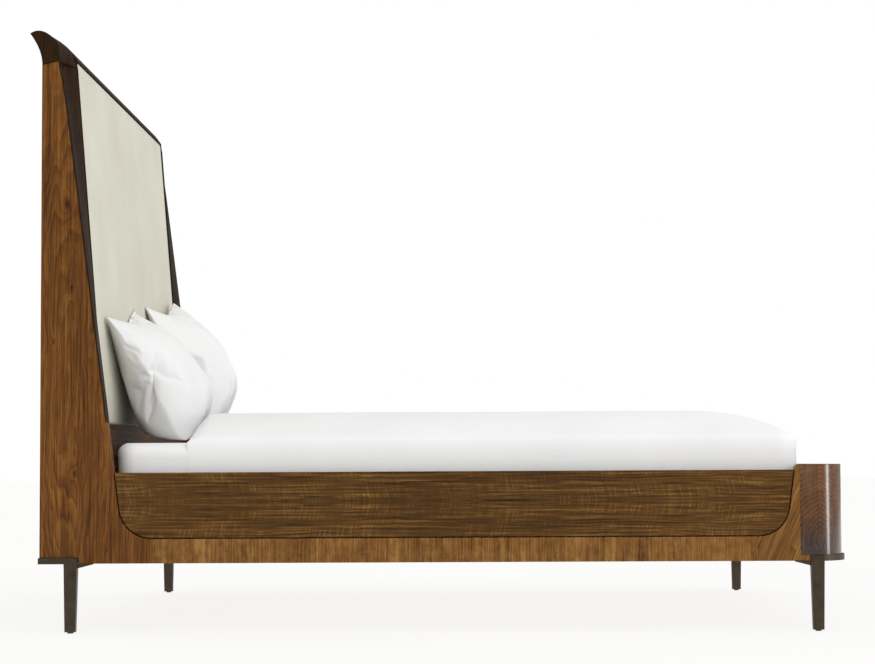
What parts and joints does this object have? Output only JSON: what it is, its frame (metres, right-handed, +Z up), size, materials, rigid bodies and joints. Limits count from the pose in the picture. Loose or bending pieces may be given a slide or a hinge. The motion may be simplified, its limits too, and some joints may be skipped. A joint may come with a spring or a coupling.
{
  "type": "sleigh bed",
  "caption": "King-size sleigh bed in figured walnut with a tall raked upholstered headboard, low bowed footboard, slim bronze legs and white bedding",
  "frame": {"origin": "on the floor, under the middle of the whole bed's length and width", "axes": "+X runs from the headboard to the footboard, +Z is up, and +Y is to the right of someone standing at the foot and facing the headboard"},
  "size_m": [2.428, 2.057, 1.7955],
  "materials": {
    "walnut_veneer": "figured walnut, satin lacquer",
    "frame_timber": "plain pale timber, unfinished",
    "dark_trim": "ebonised, satin",
    "bronze_casting": "dark bronze, satin",
    "steel_fittings": "plain sheet steel",
    "glide_nylon": "matte",
    "upholstery_cloth": "smooth pale greige cloth",
    "bedding_cotton": "white woven cotton"
  },
  "bodies": {
    "frame": {"headboard_side_left": "walnut_veneer", "headboard_side_right": "walnut_veneer", "side_rail_left": "walnut_veneer", "side_rail_right": "walnut_veneer", "sled_rail_left": "walnut_veneer", "sled_rail_right": "walnut_veneer", "footboard_return_left": "walnut_veneer", "footboard_return_right": "walnut_veneer", "footboard_panel": "walnut_veneer", "footboard_cap": "walnut_veneer", "footboard_inner_panel": "walnut_veneer", "headboard_back_panel": "walnut_veneer", "headboard_lower_panel": "walnut_veneer", "headboard_post_left": "frame_timber", "headboard_post_right": "frame_timber", "headboard_sill": "frame_timber", "headboard_rail_bottom": "frame_timber", "headboard_rail_middle": "frame_timber", "headboard_rail_top": "frame_timber", "upholstery_board": "frame_timber", "footboard_sill": "frame_timber", "slat_ledger_left": "frame_timber", "slat_ledger_right": "frame_timber", "centre_beam": "frame_timber", "slat_01": "frame_timber", "slat_02": "frame_timber", "slat_03": "frame_timber", "slat_04": "frame_timber", "slat_05": "frame_timber", "slat_06": "frame_timber", "slat_07": "frame_timber", "slat_08": "frame_timber", "slat_09": "frame_timber", "slat_10": "frame_timber", "slat_11": "frame_timber", "slat_12": "frame_timber", "slat_13": "frame_timber", "front_trim_left": "dark_trim", "front_trim_right": "dark_trim", "crest_rail": "dark_trim", "leg_head_left": "bronze_casting", "leg_head_right": "bronze_casting", "leg_foot_left": "bronze_casting", "leg_foot_right": "bronze_casting", "rail_bracket_head_left": "steel_fittings", "rail_bracket_head_right": "steel_fittings", "rail_bracket_foot_left": "steel_fittings", "rail_bracket_foot_right": "steel_fittings", "beam_hanger_head": "steel_fittings", "beam_hanger_foot": "steel_fittings", "glide_head_left": "glide_nylon", "glide_head_right": "glide_nylon", "glide_foot_left": "glide_nylon", "glide_foot_right": "glide_nylon", "upholstered_panel": "upholstery_cloth"},
    "mattress": {"mattress": "bedding_cotton", "duvet": "bedding_cotton"},
    "pillow_left": {"pillow_left": "bedding_cotton"},
    "pillow_right": {"pillow_right": "bedding_cotton"}
  },
  "joints": [
    {"name": "mattress_lift", "type": "slide", "parent": "frame", "child": "mattress", "axis": [0, 0, 1], "range_m": [0, 0.35]},
    {"name": "pillow_left_lift", "type": "slide", "parent": "mattress", "child": "pillow_left", "axis": [0, 0, 1], "range_m": [0, 0.35]},
    {"name": "pillow_right_lift", "type": "slide", "parent": "mattress", "child": "pillow_right", "axis": [0, 0, 1], "range_m": [0, 0.35]}
  ]
}
